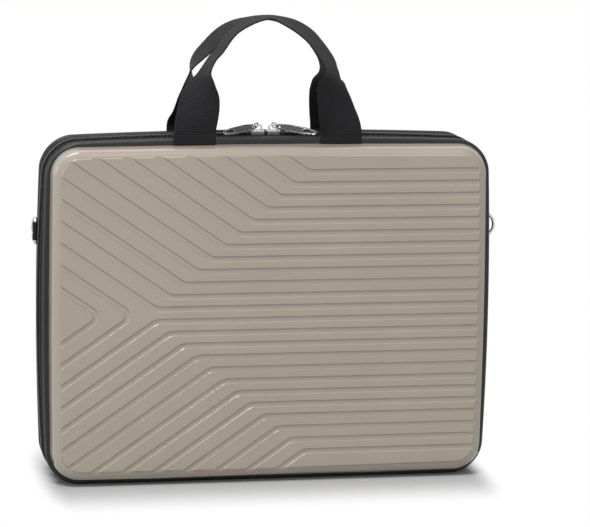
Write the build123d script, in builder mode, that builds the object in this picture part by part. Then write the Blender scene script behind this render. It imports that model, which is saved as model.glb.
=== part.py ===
from build123d import *
import os
from math import cos, hypot, radians, sin, sqrt, tan

# Zip-around hard-shell laptop case, in millimetres, closed and standing on its spine.
# X runs across the case, Y from the front to the back, Z up. The origin is on the resting
# face, midway across the case and midway between its two halves.

# ---- Driving dimensions -------------------------------------------------------------
shell_width = 397.8          # across the moulded shell, corner to corner
shell_height = 301.6         # the same, up the case
side_bow = 1.8               # how far the left and right edges swell out at their middle
top_bow = 1.6                # how far the top and bottom edges swell out
corner_radius = 26.0
shell_lift = 6.6             # the shell's bottom corners above the resting face
shell_depth = 14.0           # from the shell's rim to its face
shell_wall = 1.6
shell_edge_radius = 7.8      # rounding between the face and the side walls
seam_gap = 31.0              # from the middle plane of the case to the shell's rim

rib_height = 1.2
rib_slope = 25.0             # draft of the rib walls, in degrees
rib_pitch = 11.18            # between the level grooves
groove_width = 4.2
slant_angle = 34.7           # rise of the slanted grooves, in degrees
slant_pitch = 16.29          # between the slanted grooves, square to them
level_grooves = 12           # bent grooves on each side of the middle
chevrons = 2                 # closed arrowheads left of them
first_bend_x = -105.8        # where the innermost groove turns
bend_radius = 14.0
chevron_radius = 7.0
rib_margin = 8.5             # plain border round the ribbed field
rib_corner_radius = 17.5

bead_radius = 2.5            # piping bead round each shell
bead_reach = 3.3             # its crest beyond the shell, at the corners
bead_side_swell = 2.1        # and how much further at the middle of the sides
bead_top_swell = 2.8
bead_lift = 0.3              # its lowest line above the resting face
flange_thickness = 1.4
flange_depth = 7.0           # how far the flange reaches in behind the shell's rim

band_thickness = 1.2         # fabric between the piping and the zip
band_drop = 2.1              # the band's face below the bead's crest
band_inner_drop = 5.2        # where the band leaves the flange, under the bead
band_turn = 26.0             # from the middle plane to where the band turns outwards
band_shoulder = 24.0         # and to where it levels out
tape_seam = 14.0             # from the middle plane to the seam of band and zip tape
tape_flat = 6.0              # from the middle plane to where the tape is level
tape_edge = 1.0              # from the middle plane to the tape's edge
tape_thickness = 1.0
tape_side_swell = 4.6
tape_top_swell = 3.5
coil_edge = 0.8              # from the middle plane to the coil
coil_width = 3.0
coil_height = 2.4
zip_end_x = 160.0            # where the zip stops on the bottom edge
stop_length = 3.0            # closed stop at each end of the coil

fold_y = -2.0                # line about which the front half opens
fold_gap = 0.15              # each side of that line
spine_end_gap = 0.5

lining_gap = 0.2
lining_thickness = 2.5
lining_chamfer = 5.5         # the lining cuts across the shell's rounded edge

strap_width = 38.0           # webbing of the two carrying handles
strap_thickness = 1.8
strap_gap = 0.3              # webbing clear of the bead, the fold and the other handle
handle_spread = 67.0         # from the middle of a handle to the middle of its end
front_handle_x = -3.0        # the front handle is sewn in a little left of the middle
front_handle_rise = 105.2    # from the fold of the handle to its crown
rear_handle_rise = 101.6
handle_fold_lift = 1.5       # the fold above the bead's crest

slider_length = 13.0
slider_nose_width = 10.4
slider_tail_width = 9.6
slider_middle_x = 7.5        # from the middle of the case to a slider's middle
slider_plate = 1.3
slider_gap = 0.3             # slider clear of the coil and the tape
slider_corner_radius = 1.6
post_length = 4.0
post_width = 1.0
crown_length = 9.2           # bail that carries the pull, along the slider
crown_width = 1.4
crown_bar = 1.3
crown_rise = 5.2
crown_radius = 2.0

link_wire = 1.2              # wire link between the bail and the tab
link_gap = 0.8               # link clear of the bail's bar
link_run = 3.6               # straight part of the link
link_shift = 0.5             # the link hangs this far outside the slider's middle
link_angle = 50.0            # and is turned from the zip line to the front, in degrees
link_lean = 8.0              # how far the pull leans to the front and down, in degrees
link_roll = 12.0             # how far the link rolls to the front about its run, in degrees
tab_thickness = 1.4
tab_eye_radius = 2.8
tab_eye_hole_radius = 1.5
tab_width = 8.0
tab_shoulder = 9.0           # from the eye to where the tab is widest
tab_waist = 26.0             # from the eye to where it begins to narrow
tab_tip_radius = 2.6
tab_length = 39.0            # from the eye to the tip
tab_hole_radius = 2.2        # tear-shaped hole near the tip
tab_hole_start = 27.5
tab_hole_end_radius = 0.9
tab_hole_end = 35.0
tab_roll = 34.0              # how far the tab rolls to the front about its run, in degrees
left_tab_angle = 37.0        # each tab turned from the zip line to the front, in degrees
right_tab_angle = 40.0

wire_flats = 8               # flats that the round wires and the bead are drawn with

ring_wire = 3.0              # D-rings on the two sides
ring_height = 25.4
ring_depth = 17.0
ring_bar_radius = 2.5
ring_z = 226.0
ring_y = 18.0
ring_gap = 0.3               # between the ring's bar and its webbing loop
left_ring_angle = 85.0       # the left ring lies back against the side, in degrees
loop_height = 16.5
loop_wall = 1.2
loop_stand = 1.1             # the loop's barrel above the band
loop_neck = 3.4
loop_foot_length = 7.6
loop_foot_thickness = 1.8

corner_strap_width = 18.0
corner_strap_reach = 62.0    # from the corner, along each wall
corner_strap_thickness = 1.2
corner_strap_gap = 0.5
pocket_width = 320.0
pocket_height = 190.0
pocket_thickness = 1.2
pocket_hem = 5.0
pocket_gap = 1.0
pocket_z = 28.0

# ---- Places worked out from them ----------------------------------------------------
shell_half_width = shell_width / 2
shell_top = shell_lift + shell_height
middle_z = shell_lift + shell_height / 2
face_y = seam_gap + shell_depth
flange_back = seam_gap - flange_thickness
bead_y = seam_gap - bead_radius
band_reach = bead_reach - band_drop
band_level = bead_lift + band_drop            # underside of the band along the bottom
coil_back = coil_edge + coil_width
tape_crest_z = shell_top + band_reach + top_bow + tape_top_swell
coil_crest_z = tape_crest_z + coil_height
bead_crest_z = shell_top + bead_reach + top_bow + bead_top_swell


def rounded_outline(plane, half_width, low, top, bows, radius):
    """Outline of the case in one plane: four bowed edges, joined by arcs."""
    side, over, under = bows
    level = (low + top) / 2
    with BuildSketch(plane) as outline:
        with BuildLine():
            ThreePointArc((half_width, low), (half_width + side, level), (half_width, top))
            ThreePointArc((half_width, top), (0, top + over), (-half_width, top))
            ThreePointArc((-half_width, top), (-half_width - side, level), (-half_width, low))
            if under:
                ThreePointArc((-half_width, low), (0, low - under), (half_width, low))
            else:
                Line((-half_width, low), (half_width, low))
        make_face()
        fillet(outline.vertices(), radius)
    return outline.sketch


def shell_outline(plane, reach=0.0):
    """The moulded shell's outline, grown by reach."""
    return rounded_outline(plane, shell_half_width + reach, shell_lift - reach,
                           shell_top + reach, (side_bow, top_bow, top_bow),
                           corner_radius + reach)


def trim_outline(plane, reach, swells):
    """The soft trim's outline: flat where it stands, swelling out between the corners."""
    side_swell, top_swell = swells
    return rounded_outline(plane, shell_half_width + reach, bead_lift + bead_reach - reach,
                           shell_top + reach, (side_bow + side_swell, top_bow + top_swell, 0),
                           corner_radius + reach)


def in_front(distance):
    """A plane square to Y, this far in front of the case's middle plane."""
    return Plane.XZ.offset(distance)


def side_face_x(reach, swell, z):
    """Where the trim's right side lies at one height."""
    half_chord = (shell_top - bead_lift - bead_reach) / 2 + reach
    sagitta = side_bow + swell
    radius = (half_chord ** 2 + sagitta ** 2) / (2 * sagitta)
    height = z - (bead_lift + bead_reach - reach) - half_chord
    return shell_half_width + reach + sagitta - radius + sqrt(radius ** 2 - height ** 2)


bead_swells = (bead_side_swell, bead_top_swell)
tape_swells = (tape_side_swell, tape_top_swell)

os.makedirs("parts", exist_ok=True)


def finish(piece, label):
    """Name a finished piece and write it."""
    piece.label = label
    export_step(piece, "parts/" + label + ".step")


# ---- Ribbed shells ------------------------------------------------------------------
slant_rise = tan(radians(slant_angle))
slant_step = slant_pitch / cos(radians(slant_angle))
bend_step = (slant_step - rib_pitch) / slant_rise


def groove_corners(number):
    """Middle line of one groove in the upper half, level from the right, then rising left."""
    bend_x = first_bend_x + number * bend_step
    bend_z = (number + 0.5) * rib_pitch
    run = shell_width
    return [(run, bend_z), (bend_x, bend_z), (bend_x - run, bend_z + run * slant_rise)]


def chevron_corners(number):
    """Middle line of one arrowhead groove, whose tip points right."""
    level_x, level_z = groove_corners(-number)[1]
    tip_x = level_x + level_z / slant_rise
    run = shell_width
    return [(tip_x - run, run * slant_rise), (tip_x, 0), (tip_x - run, -run * slant_rise)]


def groove_strip(corners, radius, width):
    """One groove as a strip of even width about its middle line."""
    with BuildSketch(Plane.XY) as strip:
        with BuildLine():
            FilletPolyline(*corners, radius=radius)
            offset(amount=width / 2, side=Side.BOTH)
        make_face()
    return strip.sketch


def rib_plan(height):
    """The ribs' outlines at one height above the face: each wall leans inwards."""
    draft = height * tan(radians(rib_slope))
    margin = rib_margin + draft
    width = groove_width + 2 * draft
    with BuildSketch(in_front(face_y + height)) as plan:
        add(rounded_outline(Plane.XY, shell_half_width - margin, shell_lift + margin,
                            shell_top - margin, (side_bow, top_bow, top_bow),
                            rib_corner_radius - draft))
        with Locations((0, middle_z)):
            for number in range(level_grooves):
                for side in (1, -1):
                    corners = [(x, side * z) for x, z in groove_corners(number)]
                    add(groove_strip(corners, bend_radius, width), mode=Mode.SUBTRACT)
            for number in range(1, chevrons + 1):
                add(groove_strip(chevron_corners(number), chevron_radius, width),
                    mode=Mode.SUBTRACT)
    return plan.sketch.faces()


with BuildPart() as front_shell:
    extrude(shell_outline(in_front(seam_gap)), amount=shell_depth)
    fillet(front_shell.faces().sort_by(Axis.Y)[0].edges(), shell_edge_radius)
    offset(amount=-shell_wall, openings=front_shell.faces().sort_by(Axis.Y)[-1])
    rib_tops = rib_plan(rib_height)
    add([loft([foot, min(rib_tops, key=lambda top: (top.center() - foot.center()).length)],
              ruled=True, mode=Mode.PRIVATE) for foot in rib_plan(0)])
finish(front_shell.part, "front_shell")

# The rear shell comes from the same mould, turned half a turn about Z.
with BuildPart() as rear_shell:
    add(front_shell.part, rotation=(0, 0, 180))
finish(rear_shell.part, "rear_shell")

# ---- Linings, one in each shell -----------------------------------------------------
with BuildPart() as front_lining:
    extrude(shell_outline(in_front(seam_gap), -shell_wall - lining_gap),
            amount=shell_depth - shell_wall - lining_gap)
    chamfer(front_lining.faces().sort_by(Axis.Y)[0].edges(), lining_chamfer)
    offset(amount=-lining_thickness, openings=front_lining.faces().sort_by(Axis.Y)[-1])
finish(front_lining.part, "front_lining")

with BuildPart() as rear_lining:
    add(front_lining.part, rotation=(0, 0, 180))
finish(rear_lining.part, "rear_lining")

# ---- Piping: a bead on a flat flange that is sewn behind the shell's rim ------------


def bead_flats():
    """The bead's section, drawn with eight flats that touch its true circle."""
    return RegularPolygon(bead_radius, wire_flats, major_radius=False, rotation=180 / wire_flats)


with BuildPart() as front_piping:
    bead_path = trim_outline(in_front(bead_y), bead_reach - bead_radius, bead_swells).wire()
    with BuildSketch(Plane(origin=bead_path @ 0, x_dir=(0, 1, 0), z_dir=bead_path % 0)):
        bead_flats()
    sweep(path=bead_path)
    extrude(trim_outline(in_front(flange_back), bead_reach - bead_radius, bead_swells),
            amount=flange_thickness)
    extrude(shell_outline(in_front(flange_back), -flange_depth),
            amount=flange_thickness, mode=Mode.SUBTRACT)
finish(front_piping.part, "front_piping")

# ---- Soft bands and zip tapes -------------------------------------------------------


def soft_ring(stations, thickness):
    """Fabric through outlines at several distances in front: (distance, reach, swells)."""
    with BuildPart() as ring:
        for inset, mode in ((0, Mode.ADD), (thickness, Mode.SUBTRACT)):
            for near, far in zip(stations, stations[1:]):
                ends = [trim_outline(in_front(distance), reach - inset, swells).face()
                        for distance, reach, swells in (near, far)]
                loft(ends, ruled=True, mode=mode)
    return ring.part


with BuildPart() as front_band:
    add(soft_ring([(flange_back, bead_reach - band_inner_drop, bead_swells),
                   (band_turn, bead_reach - band_inner_drop, bead_swells),
                   (band_shoulder, band_reach, bead_swells),
                   (tape_seam, band_reach, bead_swells)], band_thickness))
finish(front_band.part, "front_band")

with BuildPart() as front_zip_tape:
    add(soft_ring([(tape_seam, band_reach, bead_swells),
                   (tape_flat, band_reach, tape_swells),
                   (tape_edge, band_reach, tape_swells)], tape_thickness))
    with Locations((0, -tape_seam / 2, band_level)):
        Box(2 * zip_end_x, tape_seam, 4 * band_level, mode=Mode.SUBTRACT)
finish(front_zip_tape.part, "front_zip_tape")


def coil_ring():
    """One half of the zip's coil, as a plain bead on the tape."""
    with BuildPart() as ring:
        extrude(trim_outline(in_front(coil_edge), band_reach + coil_height, tape_swells),
                amount=coil_width)
        extrude(trim_outline(in_front(coil_edge), band_reach, tape_swells),
                amount=coil_width, mode=Mode.SUBTRACT)
    return ring.part


with BuildPart() as front_zip_coil:
    add(coil_ring())
    with Locations((0, -coil_back / 2, band_level)):
        Box(2 * (zip_end_x + stop_length), coil_back, 4 * band_level, mode=Mode.SUBTRACT)
finish(front_zip_coil.part, "front_zip_coil")

with BuildPart() as front_zip_stops:
    for side in (1, -1):
        with Locations((side * (zip_end_x + stop_length / 2), -coil_edge - coil_width / 2,
                        band_level - coil_height / 2)):
            Box(stop_length, coil_width, coil_height)
finish(front_zip_stops.part, "front_zip_stops")

# ---- Spine: two leaves that meet at the fold ----------------------------------------
with BuildPart() as front_spine:
    with BuildSketch(Plane.XY):
        with Locations((0, (fold_y - fold_gap - band_shoulder) / 2)):
            Rectangle(2 * (zip_end_x - spine_end_gap), band_shoulder + fold_y - fold_gap)
    extrude(amount=band_level)
finish(front_spine.part, "front_spine")

with BuildPart() as rear_spine:
    with BuildSketch(Plane.XY):
        with Locations((0, (fold_y + fold_gap + band_shoulder) / 2)):
            Rectangle(2 * (zip_end_x - spine_end_gap), band_shoulder - fold_y - fold_gap)
    extrude(amount=band_level)
finish(rear_spine.part, "rear_spine")

# The rear half's trim mirrors the front half's.
for front_piece, rear_label in ((front_piping, "rear_piping"), (front_band, "rear_band"),
                                (front_zip_tape, "rear_zip_tape"),
                                (front_zip_coil, "rear_zip_coil"),
                                (front_zip_stops, "rear_zip_stops")):
    with BuildPart() as rear_piece:
        add(mirror(front_piece.part, about=Plane.XZ, mode=Mode.PRIVATE))
    finish(rear_piece.part, rear_label)

# ---- Carrying handles ---------------------------------------------------------------
strap_y = seam_gap + strap_gap + strap_thickness / 2
fold_z = bead_crest_z + handle_fold_lift
crown_y = (strap_width + strap_gap) / 2
lean = strap_y - crown_y
# Stations up each leg: share of the spread, of the lean and of the rise, then the strap's
# twist about its run, in degrees.
front_left_leg = [
    (1.00, 0.00, 0.00, 0), (0.95, 0.08, 0.22, 17), (0.90, 0.28, 0.37, 42),
    (0.86, 0.50, 0.47, 70), (0.83, 0.70, 0.55, 86), (0.745, 0.88, 0.645, 90),
    (0.64, 0.97, 0.72, 90), (0.50, 1.00, 0.845, 90), (0.37, 1.00, 0.914, 90),
    (0.18, 1.00, 0.974, 90), (0.00, 1.00, 1.00, 90),
]
front_right_leg = [
    (1.00, 0.00, 0.00, 0), (0.94, 0.08, 0.19, 19), (0.86, 0.28, 0.40, 38),
    (0.87, 0.50, 0.52, 58), (0.85, 0.78, 0.61, 65), (0.72, 0.90, 0.735, 67),
    (0.59, 1.00, 0.836, 70), (0.40, 1.00, 0.919, 75), (0.16, 1.00, 0.979, 84),
    (0.00, 1.00, 1.00, 90),
]
rear_left_leg = [
    (1.00, 0.00, 0.00, 0), (0.99, 0.15, 0.15, 33), (0.985, 0.30, 0.31, 53),
    (0.985, 0.45, 0.44, 71), (0.965, 0.62, 0.55, 84), (0.885, 0.85, 0.645, 94),
    (0.745, 0.97, 0.745, 98), (0.56, 1.00, 0.865, 98), (0.364, 1.00, 0.943, 95),
    (0.15, 1.00, 0.985, 91), (0.00, 1.00, 1.00, 90),
]
rear_right_leg = [
    (1.00, 0.00, 0.00, 0), (0.98, 0.10, 0.20, 17), (0.95, 0.25, 0.34, 36),
    (0.93, 0.42, 0.42, 53), (0.915, 0.60, 0.50, 80), (0.86, 0.80, 0.60, 88),
    (0.74, 0.95, 0.72, 90), (0.60, 1.00, 0.825, 90), (0.42, 1.00, 0.92, 90),
    (0.17, 1.00, 0.98, 90), (0.00, 1.00, 1.00, 90),
]


def leg_sections(leg, side, rise):
    """The webbing's cross-sections up one leg, as if it stood on the front shell."""
    middles = [Vector(side * handle_spread * spread_share, lean * lean_share - strap_y,
                      fold_z + strap_gap + rise * rise_share)
               for spread_share, lean_share, rise_share, twist in leg]
    beyond = Vector(-middles[-2].X, middles[-2].Y, middles[-2].Z)
    below = Vector(middles[0].X, middles[0].Y, middles[0].Z - 1)
    sections = []
    for before, middle, after, station in zip([below] + middles, middles,
                                              middles[1:] + [beyond], leg):
        along = (middle - before).normalized() + (after - middle).normalized()
        if station is leg[0]:
            along = Vector(0, 0, 1)
        run_way = Vector(along.X, 0, along.Z).normalized()
        across = Vector(run_way.Z, 0, -run_way.X) * side
        twist = radians(station[-1])
        width_way = across * cos(twist) + Vector(0, 1, 0) * sin(twist)
        with BuildSketch(Plane(origin=middle, x_dir=width_way, z_dir=run_way)) as section:
            Rectangle(strap_width, strap_thickness)
        sections.append(section.sketch.face())
    return sections


def carrying_handle(left_leg, right_leg, rise):
    """One handle's loop of webbing above its folds, as if it stood on the front shell."""
    with BuildPart() as handle:
        loft(leg_sections(left_leg, -1, rise), ruled=True)
        loft(leg_sections(right_leg, 1, rise), ruled=True)
    return handle.part


def handle_ends(middle_x):
    """A handle's ends, sewn in at the shell's rim and standing in front of the bead."""
    with BuildPart() as ends:
        for side in (1, -1):
            with Locations((middle_x + side * handle_spread, -strap_y,
                            (shell_top + fold_z) / 2)):
                Box(strap_width, strap_thickness, fold_z - shell_top)
        add(front_shell.part, mode=Mode.SUBTRACT)
    return ends.part


with BuildPart() as front_handle:
    with Locations((front_handle_x, 0, 0)):
        add(carrying_handle(front_left_leg, front_right_leg, front_handle_rise))
finish(front_handle.part, "front_handle")

with BuildPart() as front_handle_ends:
    add(handle_ends(front_handle_x))
finish(front_handle_ends.part, "front_handle_ends")

with BuildPart() as rear_handle:
    add(mirror(carrying_handle(rear_left_leg, rear_right_leg, rear_handle_rise),
               about=Plane.XZ, mode=Mode.PRIVATE))
finish(rear_handle.part, "rear_handle")

with BuildPart() as rear_handle_ends:
    add(mirror(handle_ends(0), about=Plane.XZ, mode=Mode.PRIVATE))
finish(rear_handle_ends.part, "rear_handle_ends")

# ---- Zip sliders and their pull tabs ------------------------------------------------
plate_low = coil_crest_z + slider_gap
plate_top = plate_low + slider_plate
under_top = tape_crest_z - tape_thickness - slider_gap
channel_width = 2 * (coil_back + slider_gap)


def slider_plan(height):
    """The slider seen from above: a little wider at the nose, which points to the middle."""
    nose, tail = slider_nose_width / 2, slider_tail_width / 2
    front, back = slider_middle_x - slider_length / 2, slider_middle_x + slider_length / 2
    with BuildSketch(Plane.XY.offset(height)) as plan:
        with BuildLine():
            Polyline((front, -nose), (back, -tail), (back, tail), (front, nose), close=True)
        make_face()
        fillet(plan.vertices(), slider_corner_radius)
    return plan.sketch


bar_z = plate_top + crown_rise - crown_bar / 2

with BuildPart() as slider_right:
    extrude(slider_plan(tape_crest_z + slider_gap), amount=plate_top - tape_crest_z - slider_gap)
    with Locations((slider_middle_x, 0, plate_low)):
        Box(slider_length, channel_width, plate_low - tape_crest_z,
            align=(Align.CENTER, Align.CENTER, Align.MAX), mode=Mode.SUBTRACT)
    extrude(slider_plan(under_top - slider_plate), amount=slider_plate)
    with BuildSketch(Plane.XY.offset(under_top - slider_plate)):
        with Locations((slider_middle_x, 0)):
            SlotOverall(post_length, post_width)
    extrude(amount=plate_low - under_top + slider_plate)
    with BuildSketch(Plane.XZ) as crown:
        with Locations((slider_middle_x, plate_top + crown_rise / 2)):
            Rectangle(crown_length, crown_rise)
        fillet(crown.vertices().group_by(Axis.Y)[-1], crown_radius)
        with Locations((slider_middle_x, plate_top + (crown_rise - crown_bar) / 2)):
            Rectangle(crown_length - 2 * crown_bar, crown_rise - crown_bar, mode=Mode.SUBTRACT)
    extrude(amount=crown_width / 2, both=True)
finish(slider_right.part, "slider_right")

with BuildPart() as slider_left:
    add(slider_right.part, rotation=(0, 0, 180))
finish(slider_left.part, "slider_left")

link_inner = hypot(crown_bar, crown_width) / 2 + link_gap
link_radius = link_inner + link_wire / 2
eye_run = link_run + link_radius
link_way = (Plane(origin=(slider_middle_x + link_shift, 0, bar_z), x_dir=(1, 0, 0),
                  z_dir=(0, -sin(radians(link_lean)), cos(radians(link_lean))))
            * Location((0, 0, 0), (0, 0, -link_angle)))


def pull_link():
    """The right slider's wire link, which goes round the bail's bar."""
    with BuildPart() as link:
        with BuildLine(Plane(link_way * Rotation(90 + link_roll, 0, 0))) as loop:
            Line((0, -link_radius), (link_run, -link_radius))
            ThreePointArc((link_run, -link_radius), (eye_run, 0), (link_run, link_radius))
            Line((link_run, link_radius), (0, link_radius))
            ThreePointArc((0, link_radius), (-link_radius, 0), (0, -link_radius))
        path = loop.wire()
        with BuildSketch(Plane(origin=path @ 0, z_dir=path % 0)):
            RegularPolygon(link_wire / 2, wire_flats)
        sweep(path=path)
    return link.part


def pull_tab(angle):
    """The right slider's tab, turned from the zip line to the front."""
    seat = (link_way * Location((eye_run, 0, 0), (0, 0, link_angle - angle))
            * Rotation(tab_roll, 0, 0))
    with BuildPart() as tab:
        with BuildSketch(Plane(seat)) as plan:
            half = tab_width / 2
            with BuildLine():
                Polyline((0, tab_eye_radius), (tab_shoulder, half), (tab_waist, half),
                         (tab_length - tab_tip_radius, tab_tip_radius),
                         (tab_length - tab_tip_radius, -tab_tip_radius), (tab_waist, -half),
                         (tab_shoulder, -half), (0, -tab_eye_radius), close=True)
            make_face()
            Circle(tab_eye_radius)
            with Locations((tab_length - tab_tip_radius, 0)):
                Circle(tab_tip_radius)
            Circle(tab_eye_hole_radius, mode=Mode.SUBTRACT)
            with BuildSketch(mode=Mode.PRIVATE) as hole:
                with Locations((tab_hole_start, 0)):
                    Circle(tab_hole_radius)
                with Locations((tab_hole_end, 0)):
                    Circle(tab_hole_end_radius)
                make_hull()
            add(hole.sketch, mode=Mode.SUBTRACT)
        extrude(amount=tab_thickness / 2, both=True)
    return tab.part


with BuildPart() as pull_link_right:
    add(pull_link())
finish(pull_link_right.part, "pull_link_right")

with BuildPart() as pull_link_left:
    add(mirror(pull_link(), about=Plane.YZ, mode=Mode.PRIVATE))
finish(pull_link_left.part, "pull_link_left")

with BuildPart() as pull_tab_right:
    add(pull_tab(right_tab_angle))
finish(pull_tab_right.part, "pull_tab_right")

with BuildPart() as pull_tab_left:
    add(mirror(pull_tab(left_tab_angle), about=Plane.YZ, mode=Mode.PRIVATE))
finish(pull_tab_left.part, "pull_tab_left")

# ---- D-rings in webbing loops on the two sides --------------------------------------
band_side_x = side_face_x(band_reach, bead_side_swell, ring_z)
barrel_radius = ring_wire / 2 + ring_gap + loop_wall
ring_bar_x = band_side_x + loop_stand + barrel_radius

with BuildPart() as ring_loop_right:
    with BuildSketch(Plane.XY.offset(ring_z - loop_height / 2)) as loop_section:
        with Locations((ring_bar_x, ring_y)):
            Circle(barrel_radius)
        for reach, length in ((loop_stand + barrel_radius, loop_neck),
                              (loop_foot_thickness, loop_foot_length)):
            with Locations((band_side_x + (reach - band_thickness / 2) / 2, ring_y)):
                Rectangle(reach + band_thickness / 2, length)
        with Locations((ring_bar_x, ring_y)):
            Circle(barrel_radius - loop_wall, mode=Mode.SUBTRACT)
    extrude(amount=loop_height)
    add(mirror(front_band.part, about=Plane.XZ, mode=Mode.PRIVATE), mode=Mode.SUBTRACT)
finish(ring_loop_right.part, "ring_loop_right")

with BuildPart() as ring_loop_left:
    add(mirror(ring_loop_right.part, about=Plane.YZ, mode=Mode.PRIVATE))
finish(ring_loop_left.part, "ring_loop_left")


def d_ring():
    """A D-ring whose bar stands on Z at the origin, pointing along X."""
    half = (ring_height - ring_wire) / 2
    with BuildPart() as ring:
        turn = ring_bar_radius
        arc_start = ring_depth - ring_wire - half
        with BuildLine(Plane.XZ) as outline:
            Line((turn, -half), (arc_start, -half))
            ThreePointArc((arc_start, -half), (arc_start + half, 0), (arc_start, half))
            Line((arc_start, half), (turn, half))
            TangentArc((turn, half), (0, half - turn), tangent=(-1, 0))
            Line((0, half - turn), (0, turn - half))
            TangentArc((0, turn - half), (turn, -half), tangent=(0, -1))
        path = outline.wire()
        with BuildSketch(Plane(origin=path @ 0, z_dir=path % 0)):
            RegularPolygon(ring_wire / 2, wire_flats)
        sweep(path=path)
    return ring.part


with BuildPart() as ring_right:
    with Locations((ring_bar_x, ring_y, ring_z)):
        add(d_ring())
finish(ring_right.part, "ring_right")

with BuildPart() as ring_left:
    with Locations(Location((-ring_bar_x, ring_y, ring_z), (0, 0, 180 - left_ring_angle))):
        add(d_ring())
finish(ring_left.part, "ring_left")

# ---- Inside: corner straps for the laptop, and a pocket in the front half -----------
strap_offset = corner_strap_reach / sqrt(2)
strap_bound = bead_reach - band_inner_drop - band_thickness - corner_strap_gap
with BuildPart() as corner_straps:
    with BuildSketch(Plane.XZ.offset(-flange_back)) as strap_field:
        for x_side in (1, -1):
            for z_side in (1, -1):
                corner = (x_side * shell_half_width, middle_z + z_side * shell_height / 2)
                middle = (corner[0] - x_side * strap_offset / sqrt(2),
                          corner[1] - z_side * strap_offset / sqrt(2))
                with Locations(Location((*middle, 0), (0, 0, -45 * x_side * z_side))):
                    Rectangle(4 * corner_strap_reach, corner_strap_width)
        add(rounded_outline(Plane.XY, shell_half_width + strap_bound, shell_lift - strap_bound,
                            shell_top + strap_bound, (side_bow, top_bow, top_bow),
                            corner_radius + strap_bound), mode=Mode.INTERSECT)
    extrude(amount=corner_strap_thickness)
finish(corner_straps.part, "corner_straps")

lining_floor_y = face_y - shell_wall - lining_gap - lining_thickness
with BuildPart() as front_pocket:
    with BuildSketch(in_front(lining_floor_y - pocket_gap - pocket_thickness)):
        with Locations((0, pocket_z + pocket_height / 2)):
            Rectangle(pocket_width, pocket_height)
    extrude(amount=pocket_gap + pocket_thickness)
    with BuildSketch(in_front(lining_floor_y - pocket_gap)):
        with Locations((0, pocket_z + (pocket_height + pocket_hem) / 2)):
            Rectangle(pocket_width - 2 * pocket_hem, pocket_height - pocket_hem)
    extrude(amount=pocket_gap, mode=Mode.SUBTRACT)
finish(front_pocket.part, "front_pocket")
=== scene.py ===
import bpy
import bmesh
import math
import numpy as np
from mathutils import Matrix, Vector


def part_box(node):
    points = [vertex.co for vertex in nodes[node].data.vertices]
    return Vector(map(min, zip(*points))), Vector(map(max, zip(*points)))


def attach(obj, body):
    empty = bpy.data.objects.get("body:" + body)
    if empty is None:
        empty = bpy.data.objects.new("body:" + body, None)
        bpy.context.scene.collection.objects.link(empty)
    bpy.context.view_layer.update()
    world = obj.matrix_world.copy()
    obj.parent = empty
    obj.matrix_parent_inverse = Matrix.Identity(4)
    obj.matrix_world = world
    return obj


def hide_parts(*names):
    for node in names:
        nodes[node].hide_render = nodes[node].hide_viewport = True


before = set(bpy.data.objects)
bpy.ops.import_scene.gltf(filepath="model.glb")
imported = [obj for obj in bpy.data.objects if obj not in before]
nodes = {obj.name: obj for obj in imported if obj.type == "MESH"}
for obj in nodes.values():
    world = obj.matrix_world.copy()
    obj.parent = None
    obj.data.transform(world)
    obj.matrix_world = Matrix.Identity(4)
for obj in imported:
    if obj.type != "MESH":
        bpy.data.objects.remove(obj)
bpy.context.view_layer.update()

# ---------------------------------------------------------------- the case, in millimetres
HALVES = (("front", "front_half", -1), ("rear", "rear_half", 1))
HALF_W = 198.9                      # from the middle to the shell's corners
TOP, LOW = 308.2, 3.6               # the outline that the trim follows
CORNER = 26.0
SIDE_BOW, TOP_BOW = 1.8, 1.6        # how far the shell's edges swell at their middle
BEAD_SWELL = (2.1, 2.8)             # how much further the bead does, at the sides and the top
TAPE_SWELL = (4.6, 3.5)             # and the zip's tape
BEAD_REACH, BAND_REACH = 3.3, 1.2   # beyond the shell
MIDDLE_Z = 157.4
FOLD_Z = 317.4                      # where the handles fold
ZIP_END, TEETH_END = 160.0, 163.0   # across the bottom edge


# ================================================================ materials
class Nodes:
    """A tree of shader nodes, built one by one."""

    def __init__(self, tree):
        self.tree = tree

    def node(self, kind, **values):
        made = self.tree.nodes.new("ShaderNode" + kind)
        for key, value in values.items():
            if hasattr(made, key):
                setattr(made, key, value)
            else:
                made.inputs[key.replace("_", " ")].default_value = value
        return made

    def link(self, source, target):
        self.tree.links.new(source, target)

    def math(self, operation, *operands):
        made = self.node("Math", operation=operation)
        for slot, operand in zip(made.inputs, operands):
            if isinstance(operand, (int, float)):
                slot.default_value = operand
            else:
                self.link(operand, slot)
        return made.outputs[0]


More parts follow.
